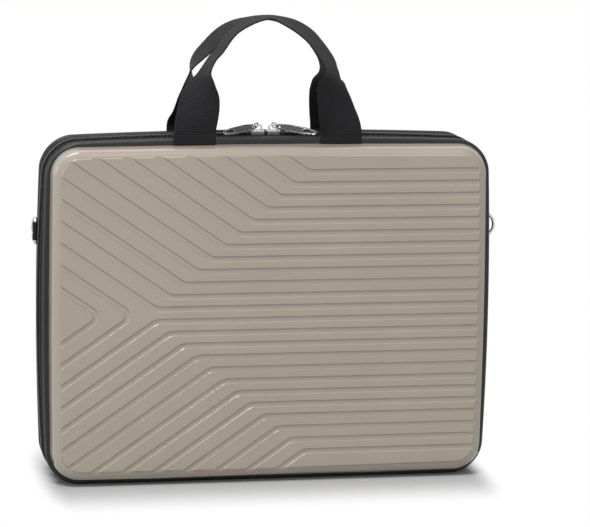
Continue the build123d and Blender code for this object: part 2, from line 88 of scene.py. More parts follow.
class Look(Nodes):
    """One procedural material."""

    def __init__(self, name, colour, roughness, **sockets):
        self.material = bpy.data.materials.new(name)
        self.material.use_nodes = True
        super().__init__(self.material.node_tree)
        self.shader = self.tree.nodes["Principled BSDF"]
        self.base = colour
        values = {"Base Color": (*colour, 1), "Roughness": roughness, **sockets}
        for key, value in values.items():
            self.shader.inputs[key.replace("_", " ")].default_value = value

    def sine(self, source, period, phase=0.0):
        """0 to 1 and back along a coordinate, once in each period."""
        turn = self.math("MULTIPLY_ADD", source, 2 * math.pi / period, phase)
        return self.math("MULTIPLY_ADD", self.math("SINE", turn), 0.5, 0.5)

    def mix(self, first, share, second):
        """A share of the first source, and of the second what is left."""
        return self.math("MULTIPLY_ADD", first, share,
                         self.math("MULTIPLY", second, 1 - share))

    def uv(self):
        """The piece's own run and width coordinates, in millimetres."""
        split = self.node("SeparateXYZ")
        self.link(self.node("TexCoord").outputs["UV"], split.inputs[0])
        return split.outputs[0], split.outputs[1]

    def noise(self, scale, detail=4, roughness=0.55, stretch=None):
        made = self.node("TexNoise", Scale=scale, Detail=detail, Roughness=roughness)
        source = self.node("TexCoord").outputs["Object"]
        if stretch:
            mapping = self.node("Mapping", Scale=stretch)
            self.link(source, mapping.inputs["Vector"])
            source = mapping.outputs[0]
        self.link(source, made.inputs["Vector"])
        return made.outputs["Fac"]

    def vary(self, source, *stops):
        """The material's colour times a share, at two (place, share) stops of a source."""
        made = self.node("ValToRGB")
        for element, (place, share) in zip(made.color_ramp.elements, stops):
            element.position = place
            element.color = (*(c * share for c in self.base), 1)
        self.link(source, made.inputs[0])
        self.link(made.outputs[0], self.shader.inputs["Base Color"])

    def roughness(self, source, low, high):
        spread = self.node("MapRange", To_Min=low, To_Max=high)
        self.link(source, spread.inputs["Value"])
        self.link(spread.outputs[0], self.shader.inputs["Roughness"])

    def bump(self, *layers):
        """Layers of (height, depth in millimetres, strength), the broadest first."""
        normal = None
        for source, depth, strength in layers:
            made = self.node("Bump", Strength=strength, Distance=depth / 1000)
            self.link(source, made.inputs["Height"])
            if normal:
                self.link(normal, made.inputs["Normal"])
            normal = made.outputs[0]
        self.link(normal, self.shader.inputs["Normal"])


def shell_look():
    look = Look("taupe_polycarbonate", (0.35, 0.3, 0.238), 0.33, Coat_Weight=0.9,
                Coat_Roughness=0.13, Coat_IOR=1.6, Specular_IOR_Level=0.5)
    look.vary(look.noise(14, 3), (0.3, 0.965), (0.7, 1.03))
    look.roughness(look.noise(90, 5, stretch=(1, 1, 0.3)), 0.3, 0.36)
    look.bump((look.noise(40, 2), 0.01, 0.1), (look.noise(900, 2), 0.003, 0.2))
    return look.material


def weave_look(name, colour, run, across, roughness=0.8, sheen=0.03, depth=0.12, twill=False):
    """Woven cloth: threads this far apart along and across the piece."""
    look = Look(name, colour, roughness, Sheen_Weight=sheen, Sheen_Roughness=0.4,
                Specular_IOR_Level=0.12)
    u, v = look.uv()
    if twill:
        cloth = look.math("MULTIPLY", look.sine(look.math("ADD", u, v), run),
                          look.math("MULTIPLY_ADD", look.sine(v, across), 0.4, 0.6))
    else:
        cloth = look.math("ADD", *(look.math("MULTIPLY", look.sine(u, run, turn),
                                             look.sine(v, across, turn))
                                   for turn in (0.0, math.pi)))
    fluff = look.noise(60, 6)
    look.vary(look.mix(fluff, 0.6, cloth), (0.15, 0.55), (0.85, 1.6))
    look.bump((fluff, 0.3, 0.12), (cloth, depth, 0.6))
    return look.material


def webbing_look(name="black_webbing", rib=2.1, cord=0.85):
    """Ribbed webbing: raised filling ribs across the strap, crossed by fine warp cords."""
    look = Look(name, (0.0085, 0.008, 0.009), 0.7, Sheen_Weight=0.05, Sheen_Roughness=0.35,
                Specular_IOR_Level=0.14)
    u, v = look.uv()
    ribs = look.math("POWER", look.sine(u, rib), 0.7)
    stagger = look.math("MULTIPLY", look.math("FLOOR", look.math("DIVIDE", v, cord)), math.pi)
    turn = look.math("ADD", look.math("MULTIPLY", u, math.pi / rib), stagger)
    over = look.math("MULTIPLY_ADD", look.math("SINE", turn), 0.5, 0.5)
    cords = look.math("MULTIPLY", look.sine(v, cord), over)
    fluff = look.noise(70, 6)
    look.vary(look.mix(fluff, 0.3, look.mix(ribs, 0.65, cords)), (0.1, 0.35), (0.9, 2.6))
    look.bump((fluff, 0.25, 0.1), (ribs, 0.25, 0.6), (cords, 0.12, 0.6))
    return look.material


def piping_look():
    look = Look("black_piping", (0.008, 0.0075, 0.0085), 0.4, Sheen_Weight=0.01,
                Coat_Weight=0.18, Coat_Roughness=0.3, Specular_IOR_Level=0.3)
    u, v = look.uv()
    cloth = look.sine(look.math("MULTIPLY_ADD", v, 1.4, u), 1.1)
    fluff = look.noise(45, 5)
    look.vary(look.mix(fluff, 0.5, cloth), (0.15, 0.6), (0.85, 1.7))
    look.bump((fluff, 0.35, 0.15), (cloth, 0.12, 0.5))
    return look.material


def coil_look():
    look = Look("black_nylon_coil", (0.012, 0.0115, 0.0125), 0.34, Specular_IOR_Level=0.42)
    wear = look.noise(120, 4)
    look.vary(wear, (0.3, 0.8), (0.8, 1.5))
    look.roughness(wear, 0.26, 0.42)
    return look.material


def metal_look(name, colour, roughness, grain_depth):
    look = Look(name, colour, roughness, Metallic=1.0)
    smudge = look.noise(60, 5)
    look.vary(smudge, (0.25, 0.9), (0.75, 1.04))
    look.roughness(look.noise(220, 4), roughness * 0.8, roughness * 1.3)
    look.bump((smudge, 0.05, 0.12),
              (look.noise(400, 3, stretch=(0.15, 1, 1)), grain_depth, 0.25))
    return look.material


def thread_look():
    look = Look("black_thread", (0.022, 0.021, 0.023), 0.5, Sheen_Weight=0.4)
    twist = look.noise(2500, 2, stretch=(1, 0.5, 1))
    look.vary(twist, (0.2, 0.6), (0.8, 1.8))
    look.bump((twist, 0.05, 0.5))
    return look.material


def lining_look():
    """A foam-backed woven lining, quilted in diamonds."""
    look = Look("charcoal_lining", (0.055, 0.056, 0.062), 0.85, Sheen_Weight=0.06,
                Sheen_Roughness=0.4, Specular_IOR_Level=0.14)
    u, v = look.uv()
    weave = look.math("MULTIPLY", look.sine(u, 0.9), look.sine(v, 0.9))
    quilt = look.math("MULTIPLY", *(
        look.math("POWER", look.sine(look.math(slant, u, v), 44), 0.22)
        for slant in ("ADD", "SUBTRACT")))
    fluff = look.noise(60, 6)
    look.vary(look.mix(fluff, 0.6, weave), (0.15, 0.6), (0.85, 1.5))
    look.bump((quilt, 1.6, 0.8), (fluff, 0.3, 0.12), (weave, 0.08, 0.5))
    return look.material


taupe = shell_look()
piping_cloth = piping_look()
band_cloth = weave_look("black_ballistic_nylon", (0.0075, 0.007, 0.008), 1.3, 0.9)
tape_cloth = weave_look("black_zip_tape", (0.0065, 0.006, 0.007), 0.7, 1.2, 0.7, 0.036, 0.1,
                        twill=True)
lining_cloth = lining_look()
pocket_cloth = weave_look("charcoal_pocket", (0.04, 0.041, 0.046), 1.4, 1.4, 0.8, 0.048, 0.16)
elastic_cloth = webbing_look("black_elastic", 1.3, 0.7)
webbing = webbing_look()
coil_nylon = coil_look()
bright_metal = metal_look("bright_nickel", (0.58, 0.565, 0.56), 0.2, 0.01)
satin_metal = metal_look("satin_die_cast", (0.42, 0.415, 0.42), 0.27, 0.04)
thread = thread_look()


# ================================================================ lines and outlines
def unit(vectors):
    return vectors / np.linalg.norm(vectors, axis=-1, keepdims=True)


def run_length(line):
    """The distance along a line at each of its points."""
    return np.append(0, np.cumsum(np.linalg.norm(np.diff(line, axis=0), axis=1)))


def resampled(line, run, places):
    """A line with these distances along it, at other distances."""
    return np.stack([np.interp(places, run, column) for column in np.transpose(line)], -1)


def stood(flat, y):
    """Places (x, z) at one y."""
    return np.insert(flat, 1, y, axis=1)


def arc(centre, radius, start, end, count):
    """Points on an arc in a plane, from one angle to another, in degrees."""
    turns = np.radians(np.linspace(start, end, count))
    return np.stack([centre[0] + radius * np.cos(turns), centre[1] + radius * np.sin(turns)], -1)


def evenly(outline, spacing):
    """A closed outline with its points evenly spaced."""
    ring = np.concatenate([outline, outline[:1]])
    run = run_length(ring)
    count = round(run[-1] / spacing)
    return resampled(ring, run, run[-1] * np.arange(count) / count)


def grown(outline, reach):
    """A closed outline, counter-clockwise, moved outwards by reach."""
    along = np.roll(outline, -1, 0) - np.roll(outline, 1, 0)
    return outline + reach * unit(np.stack([along[:, 1], -along[:, 0]], -1))


def trim_run(step=3.0, cut=0.0):
    """Stations once round the case, from the middle of the bottom edge up the left side: x,
    z and the direction outwards. With cut, they start and end at that x."""
    flat, foot, head = HALF_W - CORNER, LOW + CORNER, TOP - CORNER
    edges = [((-cut, LOW), (-flat, LOW)), ((-HALF_W, foot), (-HALF_W, head)),
             ((-flat, TOP), (flat, TOP)), ((HALF_W, head), (HALF_W, foot)),
             ((flat, LOW), (cut, LOW))]
    turns = max(6, round(CORNER * math.pi / 2 / (step * 0.6)))
    run = []
    for (start, end), angle in zip(edges, (270, 180, 90, 0, -90)):
        along = np.linspace(start, end, max(2, round(math.dist(start, end) / step)) + 1)
        out = arc((0, 0), 1, angle, angle - 90, turns + 1)
        run.append(np.hstack([along, np.broadcast_to(out[0], along.shape)])[:-1])
        run.append(np.hstack([end + CORNER * (out - out[0]), out])[:-1])
    run[-1] = np.array([[cut, LOW, 0, -1]])
    return np.concatenate(run)


def trim_points(run, reach, swells):
    """Places (x, z) of the stations at one reach beyond the shell, with the bowed edges."""
    x, z = (run[:, :2] + reach * run[:, 2:]).T
    across, up = x / (HALF_W + reach), (z - (TOP + LOW) / 2) / ((TOP - LOW) / 2 + reach)
    side = (SIDE_BOW + swells[0]) * (1 - up ** 2) * (np.abs(across) > 0.5)
    over = (TOP_BOW + swells[1]) * (1 - across ** 2)
    return np.stack([x + side * across ** 7, z + over * np.maximum(0, up) ** 7], -1)


def even_places(spacing, swells, y, cut=0.0, offset=0.0):
    """Evenly spaced places round the band, and the directions along it and outwards."""
    flat = trim_points(trim_run(1.0, cut), BAND_REACH, swells)
    length = run_length(flat)
    room = length[-1] - 2 * offset
    count = int(room / spacing)
    places = offset + (room - (count - 1) * spacing) / 2 + spacing * np.arange(count)
    spot, ahead, back = (resampled(flat, length, places + more) for more in (0, 0.5, -0.5))
    along = unit(ahead - back)
    out = np.stack([-along[:, 1], along[:, 0]], -1)
    return stood(spot, y), stood(along, 0), stood(out, 0)


# ================================================================ building pieces
def added(name, data):
    made = bpy.data.objects.new(name, data)
    bpy.context.scene.collection.objects.link(made)
    return made


def settle(name, mesh, body, node=None):
    made = added(name, mesh)
    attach(made, body)
    if node:
        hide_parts(node)
    return made


def flat_uv(mesh):
    """Each face laid out square on, in millimetres, along the axis that it faces."""
    layer = mesh.uv_layers.new(name="UVMap")
    for face in mesh.polygons:
        axis = max(range(3), key=lambda k: abs(face.normal[k]))
        across = [k for k in range(3) if k != axis]
        for loop in face.loop_indices:
            place = mesh.vertices[mesh.loops[loop].vertex_index].co
            layer.data[loop].uv = [place[k] * 1000 for k in across]


def piece(name, points, faces, material, body, node=None, slot=None, uv=None, sharp=50,
          ends=()):
    """A mesh from points in millimetres, riding on one body. Each of its ends is a flat face
    within some loops of points. With uv empty, it gets none."""
    mesh = bpy.data.meshes.new(name)
    mesh.from_pydata((np.asarray(points) / 1000).tolist(), [], faces)
    build = bmesh.new()
    build.from_mesh(mesh)
    build.verts.ensure_lookup_table()
    for loops in ends:
        edges = [build.edges.get((build.verts[a], build.verts[b])) for loop in loops
                 for a, b in zip(loop, loop[1:] + loop[:1])]
        bmesh.ops.triangle_fill(build, use_beauty=True, use_dissolve=False, edges=edges)
    bmesh.ops.recalc_face_normals(build, faces=build.faces)
    build.to_mesh(mesh)
    build.free()
    if uv is None:
        flat_uv(mesh)
    elif len(uv):
        index = np.empty(len(mesh.loops), dtype=np.int64)
        mesh.loops.foreach_get("vertex_index", index)
        mesh.uv_layers.new(name="UVMap").data.foreach_set("uv", np.asarray(uv)[index].ravel())
    mesh.materials.append(material)
    mesh.polygons.foreach_set("use_smooth", [True] * len(mesh.polygons))
    mesh.set_sharp_from_angle(angle=math.radians(sharp))
    return settle(name, mesh, body, node)


def grid_faces(rows, columns, close_rows=False, close_columns=False, caps=False):
    """Quads over rows by columns of points, with caps over the first and last row."""
    r, c = np.meshgrid(np.arange(rows if close_rows else rows - 1),
                       np.arange(columns if close_columns else columns - 1), indexing="ij")
    r2, c2 = (r + 1) % rows, (c + 1) % columns
    quads = np.stack([r * columns + c, r * columns + c2, r2 * columns + c2,
                      r2 * columns + c], -1)
    faces = quads.reshape(-1, 4).tolist()
    if caps:
        faces += [list(range(start, start + columns)) for start in (0, (rows - 1) * columns)]
    return faces


def joined(parts):
    """Several (points, faces) as one."""
    points, faces, base = [], [], 0
    for more, its_faces in parts:
        points.append(more)
        faces += [[i + base for i in face] for face in its_faces]
        base += len(more)
    return np.concatenate(points), faces


def many(shape, origins, xs, ys, zs):
    """Copies of one small shape, each in its own axes."""
    axes = np.stack(np.broadcast_arrays(xs, ys, zs), 1)
    copies = np.einsum("ij,njk->nik", shape[0], axes) + origins[:, None, :]
    return joined([(points, shape[1]) for points in copies])


def tube_of(path, radius, sides=10, closed=True):
    """Points and faces of a round tube along a path of 3-D points."""
    path = np.asarray(path, dtype=float)
    along = unit(np.roll(path, -1, 0) - np.roll(path, 1, 0) if closed
                 else np.gradient(path, axis=0))
    seed = np.cross(along[0], [0.3, 0.5, 0.81])
    points = []
    for place, direction in zip(path, along):
        seed = unit(seed - direction * seed.dot(direction))
        other = np.cross(direction, seed)
        for turn in 2 * math.pi * np.arange(sides) / sides:
            points.append(place + radius * (math.cos(turn) * seed + math.sin(turn) * other))
    return np.array(points), grid_faces(len(path), sides, closed, True, caps=not closed)


def walls(outlines, levels):
    """Loops over the outlines at (growth, height) levels, with quads between them, and the
    loops at each end. The first outline grows outwards, and the others are its holes."""
    parts, ends, base = [], ([], []), 0
    for k, outline in enumerate(outlines):
        count = len(outline)
        rings = [np.insert(grown(outline, -g if k else g), 2, z, axis=1) for g, z in levels]
        parts.append((np.concatenate(rings), grid_faces(len(levels), count, False, True)))
        for end, level in zip(ends, (0, len(levels) - 1)):
            end.append(list(range(base + level * count, base + (level + 1) * count)))
        base += len(levels) * count
    return *joined(parts), ends


def trim_ring(name, rows, material, body, node, side, cut=0.0, wobble=None):
    """A section swept round the case: rows of (distance from the middle plane, reach,
    swells), in a ring."""
    run, rows = trim_run(cut=cut), [*rows, rows[0]]
    base = run_length(trim_points(run, *rows[0][1:]))
    points, uv = [], []
    for (distance, reach, swells), across in zip(rows, run_length([row[:2] for row in rows])):
        flat = trim_points(run, reach, swells)
        if wobble:
            along = unit(np.gradient(flat, axis=0))
            flat += np.stack([-along[:, 1], along[:, 0]], -1) * wobble(base, distance)[:, None]
        points.append(stood(flat, side * distance))
        uv.append(np.stack([base, np.full(len(base), across)], -1))
    count, columns = len(rows), len(run)
    faces = grid_faces(count, columns)
    if cut:
        faces += [[r * columns + c for r in range(count - 1)] for c in (0, columns - 1)]
    return piece(name, np.concatenate(points), faces, material, body, node,
                 uv=np.concatenate(uv))


SHORT_EDGE = 1e-4       # in metres
WELD = 2e-6
FLAT_ANGLE = 0.4        # faces that turn less than this, in degrees, are one flat


def edge_chains(edges):
    """The edges in groups that touch end to end, in an order that is always the same."""
    left, chains = dict.fromkeys(edges), []
    while left:
        chain = [left.popitem()[0]]
        for edge in chain:
            for vert in edge.verts:
                touching = [e for e in vert.link_edges if e in left]
                for other in touching:
                    del left[other]
                chain += touching
        chains.append(chain)
    return chains


def bevelled_copy(name, node, material, body, width, segments=4, angle=25, reshape=None):
    """The CAD solid with its flats rejoined and its edges rounded, chain by chain. A chain
    with a very short edge stays sharp, because rounding would fold its neighbours."""
    build = bmesh.new()
    build.from_mesh(nodes[node].data)
    bmesh.ops.remove_doubles(build, verts=build.verts, dist=WELD)
    bmesh.ops.dissolve_limit(build, angle_limit=math.radians(FLAT_ANGLE), verts=build.verts,
                             edges=build.edges, use_dissolve_boundaries=False)
    sharp = [e for e in build.edges if len(e.link_faces) == 2
             and e.calc_face_angle(0) > math.radians(angle)]
    for chain in edge_chains(sharp):
        if min(e.calc_length() for e in chain) > SHORT_EDGE:
            bmesh.ops.bevel(build, geom=chain, offset=width / 1000, segments=segments,
                            profile=0.5, affect="EDGES", clamp_overlap=True)
    if reshape:
        for vert in build.verts:
            vert.co = reshape(vert.co * 1000) / 1000
    mesh = bpy.data.meshes.new(name)
    build.to_mesh(mesh)
    build.free()
    if "custom_normal" in mesh.attributes:
        mesh.attributes.remove(mesh.attributes["custom_normal"])
    mesh.materials.clear()
    mesh.materials.append(material)
    mesh.polygons.foreach_set("use_smooth", [True] * len(mesh.polygons))
    normals = np.zeros((len(mesh.vertices), 3))
    for face in mesh.polygons:
        normals[list(face.vertices)] += np.array(face.normal) * face.area
    normals /= np.maximum(np.linalg.norm(normals, axis=1), 1e-12)[:, None]
    mesh.normals_split_custom_set_from_vertices(normals.tolist())
    return settle(name, mesh, body, node)


# ================================================================ shells
RIM_Y, FACE_DEPTH, EDGE_RADIUS = 31.0, 14.0, 7.8
SHELL_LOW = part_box("front_shell")[0][2] * 1000
# Border's section: how far in from the side wall, and how far back from the face, against
# the share of the CAD edge's quarter turn.
BORDER = np.array([(0.0, 7.8, 0.0), (0.25, 5.9, 0.8), (0.5, 4.0, 1.62), (0.68, 2.75, 2.3),
                   (0.78, 2.25, 3.0), (0.88, 1.95, 4.3), (1.0, 1.45, 6.6)])


def outline_place(x, z):
    """Distance in from the shell's bowed outline, and the direction out of it."""
    half_w, middle, half_h = HALF_W, (TOP + SHELL_LOW) / 2, (TOP - SHELL_LOW) / 2
    side = SIDE_BOW * max(0.0, 1 - ((z - middle) / half_h) ** 2)
    over = TOP_BOW * max(0.0, 1 - (x / half_w) ** 2)
    x -= side * (x / half_w) ** 7
    z -= over * max(0.0, (z - middle) / half_h) ** 7
    dx, dz = abs(x) - (half_w - CORNER), abs(z - middle) - (half_h - CORNER)
    sx, sz = math.copysign(1, x), math.copysign(1, z - middle)
    if dx > 0 and dz > 0:
        reach = math.hypot(dx, dz)
        return CORNER - reach, (sx * dx / reach, sz * dz / reach)
    return (CORNER - dx, (sx, 0)) if dx > dz else (CORNER - dz, (0, sz))


def border_shape(point):
    """The shell's rounded edge as a sloping border that turns into a drafted wall."""
    back = RIM_Y + FACE_DEPTH - abs(point.y)
    inset, (out_x, out_z) = outline_place(point.x, point.z)
    if back < -0.1 or inset > EDGE_RADIUS or back > FACE_DEPTH:
        return point
    turn_in, turn_back = EDGE_RADIUS - inset, EDGE_RADIUS - back
    new_in, new_back = inset, back
    if back < EDGE_RADIUS and math.hypot(turn_in, turn_back) > EDGE_RADIUS - 0.25:
        share = math.atan2(turn_in, turn_back) / (math.pi / 2)
        new_in = np.interp(share, BORDER[:, 0], BORDER[:, 1])
        new_back = np.interp(share, BORDER[:, 0], BORDER[:, 2])
    elif inset < 0.3:
        new_in = inset + (FACE_DEPTH - back) / (FACE_DEPTH - EDGE_RADIUS) * BORDER[-1, 1]
        new_back = back - 1.2 * (FACE_DEPTH - back) / (FACE_DEPTH - EDGE_RADIUS)
    side = math.copysign(1, point.y)
    return Vector((point.x - out_x * (new_in - inset), point.y - side * (new_back - back),
                   point.z - out_z * (new_in - inset)))


for half, body, side in HALVES:
    bevelled_copy(half + "_shell_skin", half + "_shell", taupe, body, 0.25,
                  reshape=border_shape)


# ================================================================ soft trim
BEAD_Y, BEAD_RADIUS = 28.5, 2.5
stitch = tube_of([(-1.15, 0, -0.12), (-0.9, 0, 0.1), (0, 0, 0.2), (0.9, 0, 0.1),
                  (1.15, 0, -0.12)], 0.2, 6, closed=False)
# A tooth of the coil: a small rounded loop that reaches between those of the other half.
tooth = tube_of([(0, y, z) for y, z in (
    (3.7, 0.45), (3.75, 1.2), (3.35, 1.8), (2.4, 1.98), (1.0, 1.98), (0.1, 1.75),
    (-0.25, 1.25), (0.1, 0.75), (1.2, 0.5), (2.6, 0.4))], 0.36, 6)
tooth[0][:, 0] *= 1.25
TOOTH_PITCH, STITCH_PITCH = 1.7, 3.0


def tape_swell(distance):
    """How much the trim swells, this far from the middle plane: more towards the zip."""
    share = min(1.0, max(0.0, (14 - distance) / 8))
    return tuple(b + (t - b) * share for b, t in zip(BEAD_SWELL, TAPE_SWELL))


def soft_trim(half, body, side):
    """Piping, gathered band, zip tape, coil and stitches of one half."""
    def gathers(length, distance):
        pull = 0.5 + 0.5 * np.sin(length / 7.3 + side) * np.sin(length / 3.1)
        return -0.22 * pull * max(0.0, 1 - abs(distance - 22) / 4.5)

    bead = arc((BEAD_Y, BEAD_REACH - BEAD_RADIUS), BEAD_RADIUS, 20, 300, 18)[:-3]
    bead = [(distance, reach, BEAD_SWELL) for distance, reach in bead]
    flange = [(29.7, -1.7, BEAD_SWELL), (29.7, -6.9, (0, 0)), (30.9, -6.9, (0, 0)),
              (30.95, -0.5, BEAD_SWELL)]
    trim_ring(half + "_piping_cord", bead + flange, piping_cloth, body, half + "_piping", side)

    outside = [(distance, BAND_REACH) for distance in (22.6, 20.0, 17.0, 14.9)]
    band = [(29.5, -1.95), (26.2, -1.95), (25.0, -0.6), (24.0, 0.85), *outside,
            (14.2, BAND_REACH - 0.15), (14.05, BAND_REACH - 0.5), (14.05, 0.05), (23.5, 0.05),
            (25.9, -3.05), (29.5, -3.05)]
    trim_ring(half + "_band_cloth", [(distance, reach, BEAD_SWELL) for distance, reach in band],
              band_cloth, body, half + "_band", side, wobble=gathers)

    tape = [(d, BAND_REACH - 0.02, tape_swell(d)) for d in (13.95, 11, 8, 6, 4, 1.4)]
    tape += [(1.05, BAND_REACH - 0.25, TAPE_SWELL), (1.05, BAND_REACH - 0.75, TAPE_SWELL)]
    tape += [(d, BAND_REACH - 0.98, tape_swell(d)) for d in (1.4, 6, 13.95)]
    trim_ring(half + "_zip_tape_cloth", tape, tape_cloth, body, half + "_zip_tape", side,
              ZIP_END)

    # The rear half's teeth start half a pitch further, between the front half's.
    offset = 0.6 + (TOOTH_PITCH / 2 if side > 0 else 0)
    spot, along, out = even_places(TOOTH_PITCH, TAPE_SWELL, 0, TEETH_END, offset)
    piece(half + "_zip_coil_teeth", *many(tooth, spot, along, (0, side, 0), out), coil_nylon,
          body, half + "_zip_coil", sharp=80)

    # Stitches along both edges of the band, and along the zip tape.
    seams = []
    for distance, swells, end in ((15.2, BEAD_SWELL, 0), (22.2, BEAD_SWELL, 0),
                                  (12.4, tape_swell(12.4), ZIP_END), (5.0, TAPE_SWELL, ZIP_END)):
        spot, along, out = even_places(STITCH_PITCH, swells, side * distance, end, 2.0)
        seams.append(many(stitch, spot, along, (0, 1, 0), out))
    piece(half + "_band_stitches", *joined(seams), thread, body, slot=half + "_band", sharp=80)


for half, body, side in HALVES:
    soft_trim(half, body, side)


# ================================================================ carrying handles
def catmull(values, steps, before, beyond):
    """A smooth line through the values, which comes from one before and heads for one beyond."""
    values = np.asarray(values, dtype=float)
    padded = np.concatenate([[before], values, [beyond]])
    out = []
    for i in range(len(values) - 1):
        a, b, c, d = padded[i:i + 4]
        for t in np.arange(steps) / steps:
            out.append(0.5 * (2 * b + (c - a) * t + (2 * a - 5 * b + 4 * c - d) * t ** 2
                              + (3 * b - a - 3 * c + d) * t ** 3))
    out.append(values[-1])
    return np.array(out)


SPREAD, STRAP, THICK = 67.0, 38.0, 1.8
STRAP_Y, CROWN_Y = 32.2, 19.15
RIB = 2.1
SEWN_Z = 310.0          # where the handles' ends go in under the piping
WEAVE_START = 79        # of the texture's width coordinate, at the strap's middle
# Stations up each leg: share of the spread, of the lean and of the rise, then the strap's
# twist about its run, in degrees.
LEGS = {
    ("front", "left"): [(1.00, 0.00, 0.00, 0), (0.95, 0.08, 0.22, 17), (0.90, 0.28, 0.37, 42),
                        (0.86, 0.50, 0.47, 70), (0.83, 0.70, 0.55, 86), (0.745, 0.88, 0.645, 90),
                        (0.64, 0.97, 0.72, 90), (0.50, 1.00, 0.845, 90), (0.37, 1.00, 0.914, 90),
                        (0.18, 1.00, 0.974, 90), (0.00, 1.00, 1.00, 90)],
    ("front", "right"): [(1.00, 0.00, 0.00, 0), (0.94, 0.08, 0.19, 19), (0.86, 0.28, 0.40, 38),
                         (0.87, 0.50, 0.52, 58), (0.85, 0.78, 0.61, 65), (0.72, 0.90, 0.735, 67),
                         (0.59, 1.00, 0.836, 70), (0.40, 1.00, 0.919, 75), (0.16, 1.00, 0.979, 84),
                         (0.00, 1.00, 1.00, 90)],
    ("rear", "left"): [(1.00, 0.00, 0.00, 0), (0.99, 0.15, 0.15, 33), (0.985, 0.30, 0.31, 53),
                       (0.985, 0.45, 0.44, 71), (0.965, 0.62, 0.55, 84),
                       (0.885, 0.85, 0.645, 94), (0.745, 0.97, 0.745, 98),
                       (0.56, 1.00, 0.865, 98), (0.364, 1.00, 0.943, 95),
                       (0.15, 1.00, 0.985, 91), (0.00, 1.00, 1.00, 90)],
    ("rear", "right"): [(1.00, 0.00, 0.00, 0), (0.98, 0.10, 0.20, 17), (0.95, 0.25, 0.34, 36),
                        (0.93, 0.42, 0.42, 53), (0.915, 0.60, 0.50, 80),
                        (0.86, 0.80, 0.60, 88), (0.74, 0.95, 0.72, 90),
                        (0.60, 1.00, 0.825, 90), (0.42, 1.00, 0.92, 90),
                        (0.17, 1.00, 0.98, 90), (0.00, 1.00, 1.00, 90)],
}


def strap_profile():
    """The webbing's cross-section: flat, with rounded selvedges."""
    half, edge = STRAP / 2, THICK / 2
    across = np.linspace(-half + edge, half - edge, 21)
    front = [(a, -edge) for a in across]
    right = [(half - edge + edge * math.sin(t), -edge * math.cos(t))
             for t in np.linspace(0, math.pi, 6)[1:-1]]
    back = [(a, edge) for a in across[::-1]]
    left = [(-half + edge - edge * math.sin(t), edge * math.cos(t))
            for t in np.linspace(0, math.pi, 6)[1:-1]]
    return np.array(front + right + back + left)


def leg_line(leg, x_side, rise):
    """Middle and width direction up one leg, close together and evenly spaced."""
    leg = np.asarray(leg)
    shares = catmull(leg, 40, leg[1] * [1, 1, -1, 1], leg[-2] * [-1, 1, 1, 1])
    middles = np.column_stack([x_side * SPREAD * shares[:, 0],
                               (STRAP_Y - CROWN_Y) * shares[:, 1] - STRAP_Y,
                               FOLD_Z + 0.3 + rise * shares[:, 2]])
    along = np.gradient(middles, axis=0)
    across = x_side * unit(np.column_stack([along[:, 2], 0 * along[:, 0], -along[:, 0]]))
    twist = np.radians(shares[:, 3:])
    widths = across * np.cos(twist) + np.array([0, 1, 0]) * np.sin(twist)
    run = run_length(middles)
    places = np.linspace(0, run[-1], round(run[-1] / (RIB / 4)) + 1)
    return resampled(np.hstack([middles, widths * x_side]), run, places)


def strap_loop(half, middle_x, rise):
    """One carrying handle, from its left foot over the crown to its right foot."""
    left, right = leg_line(LEGS[half, "left"], -1, rise), leg_line(LEGS[half, "right"], 1, rise)
    line = np.concatenate([left, right[::-1][1:]])
    middles, widths = line[:, :3], unit(line[:, 3:])
    thick = unit(np.cross(np.gradient(middles, axis=0), widths))
    run, profile = run_length(middles), strap_profile()
    ribs = 1 + 0.16 * np.cos(2 * math.pi * run / RIB)
    swell = profile[:, 1] * ribs[:, None] * 0.86
    rows = (middles[:, None, :] + profile[:, :1] * widths[:, None, :]
            + swell[:, :, None] * thick[:, None, :])
    rows = rows * [1, 1 if half == "front" else -1, 1] + [middle_x, 0, 0]
    uv = np.stack(np.broadcast_arrays(run[:, None], profile[:, 0] + WEAVE_START), -1)
    piece(half + "_handle_webbing", rows.reshape(-1, 3),
          grid_faces(len(run), len(profile), False, True, caps=True), webbing,
          half + "_carrying_handle", half + "_handle", uv=uv.reshape(-1, 2), sharp=75)


def strap_feet(half, body, side, middle_x):
    """The sewn ends of one handle."""
    profile, levels = strap_profile(), np.linspace(SEWN_Z, FOLD_Z + 0.27, 6)
    faces = grid_faces(len(levels), len(profile), False, True, caps=True)
    feet, uv = [], []
    for x_side in (1, -1):
        flat = profile * [1, side] + [middle_x + x_side * SPREAD, side * STRAP_Y]
        feet.append((np.concatenate([np.insert(flat, 2, z, axis=1) for z in levels]), faces))
        uv += [np.column_stack([np.full(len(flat), z), profile[:, 0] + WEAVE_START])
               for z in levels]
    piece(half + "_handle_feet", *joined(feet), webbing, body, half + "_handle_ends",
          uv=np.concatenate(uv), sharp=60)


HANDLES = {"front": (-3.0, 105.2), "rear": (0.0, 101.6)}    # middle in x, and rise
for half, body, side in HALVES:
    strap_loop(half, *HANDLES[half])
for half, body, side in HALVES:
    strap_feet(half, body, side, HANDLES[half][0])

# ================================================================ metal
BAR_Z = 323.05
LINK_WIRE, LINK_RADIUS, LINK_RUN = 0.6, 2.3552, 3.6
PULL_X, PULL_TURN, PULL_LEAN, LINK_ROLL, TAB_ROLL = 8.0, 50.0, 8.0, 12.0, 34.0
TAB_TURN = {"left": 37.0, "right": 40.0}


def turned(axis, degrees):
    return Matrix.Rotation(math.radians(degrees), 4, axis)


def pull_axes(turn, roll, reach=0.0):
    """Axes of a part of the right pull: x along its run, z out of its face."""
    lean = turned("X", PULL_LEAN)
    way = Matrix.Translation((PULL_X, 0, BAR_Z)) @ lean @ turned("Z", -PULL_TURN)
    return way @ Matrix.Translation((reach, 0, 0)) @ turned("Z", PULL_TURN - turn) \
        @ turned("X", roll)


